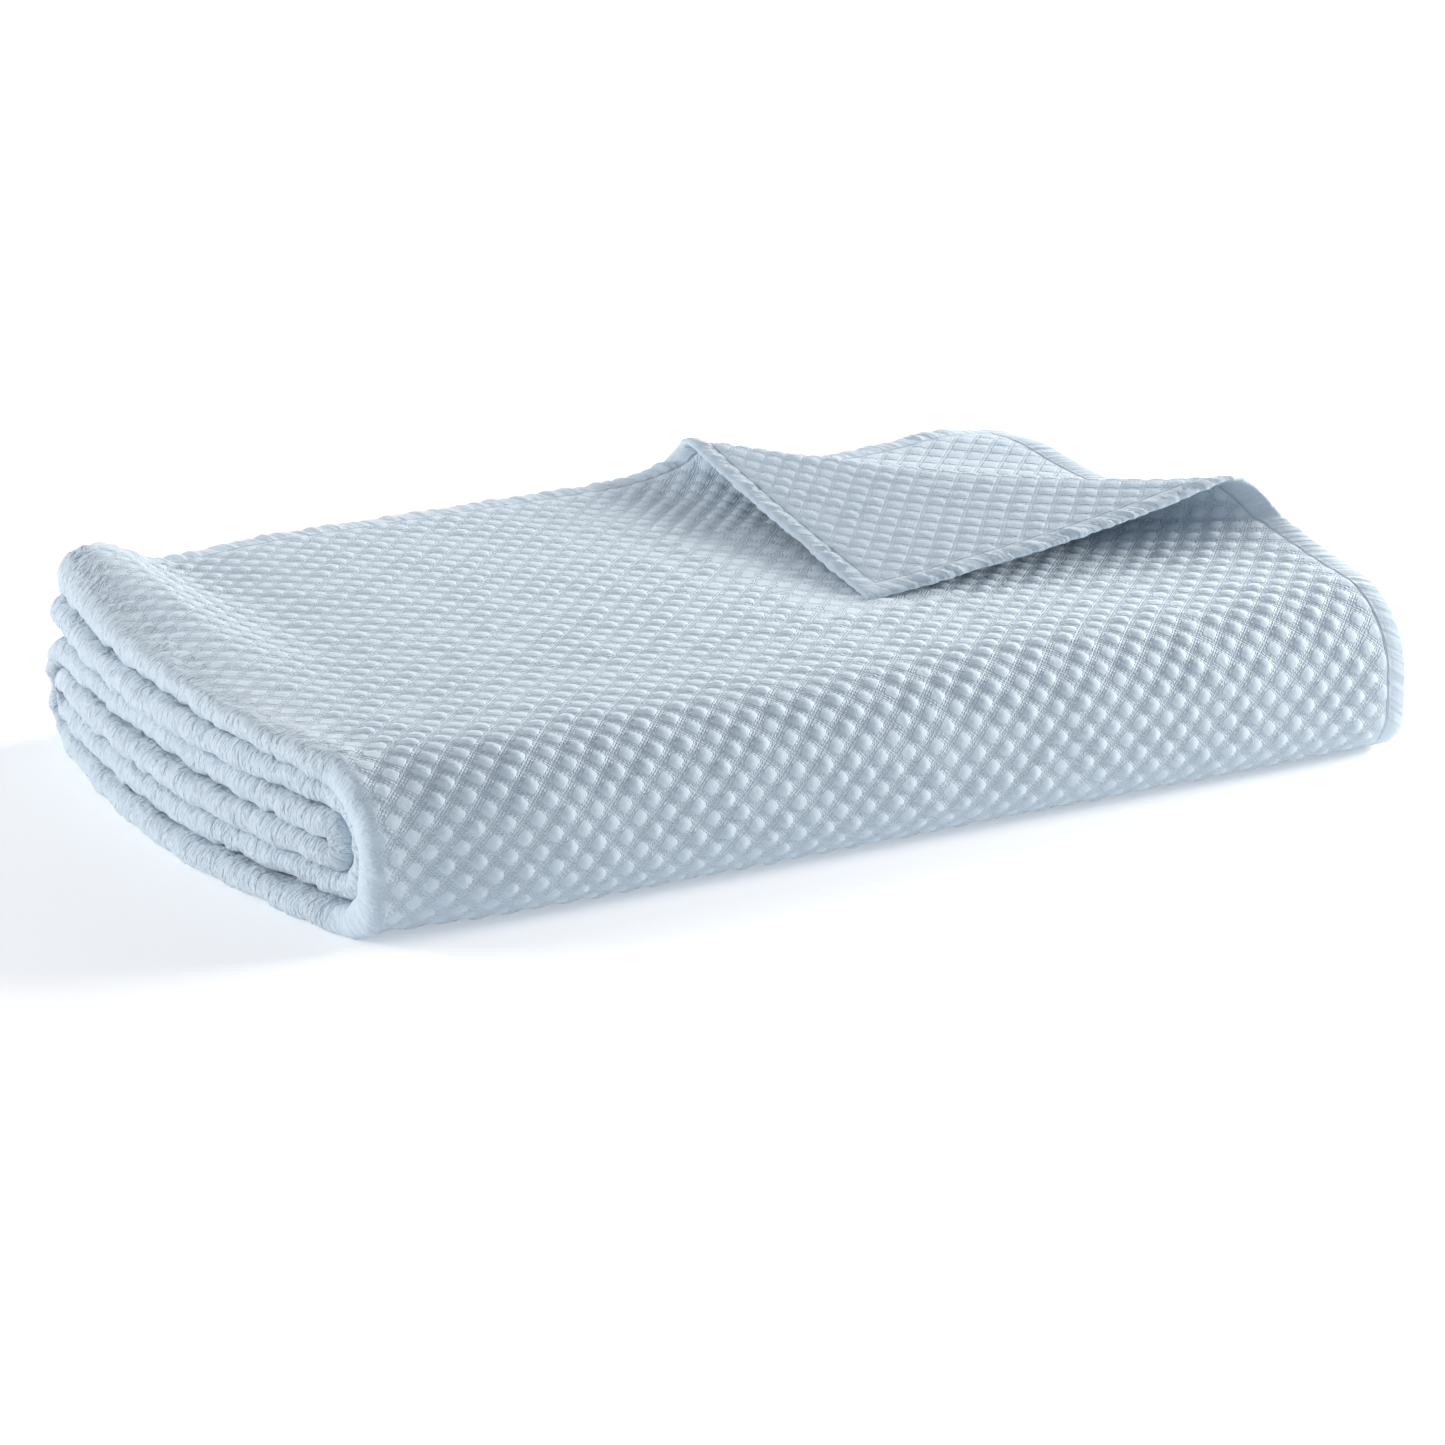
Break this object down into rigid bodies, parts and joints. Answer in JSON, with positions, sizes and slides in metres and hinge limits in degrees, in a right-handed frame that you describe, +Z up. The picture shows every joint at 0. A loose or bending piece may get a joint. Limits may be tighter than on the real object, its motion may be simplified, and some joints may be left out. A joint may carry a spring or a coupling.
{
  "type": "folded quilted coverlet",
  "caption": "Pale blue quilted cotton coverlet folded into a long low bundle, with one corner of its top layer turned back.",
  "frame": {"origin": "middle of the underside of the folded bundle, on the surface that it lies on", "axes": "+X along the bundle's long front, towards the end with the turned-back corner; +Y from the rolled front to the hems at the back; +Z up"},
  "size_m": [0.6104, 0.3896, 0.1181],
  "materials": {
    "quilted_cotton": "matt puffed cotton with a stitched diamond trellis"
  },
  "bodies": {
    "root": {"coverlet": "quilted_cotton"}
  },
  "joints": []
}
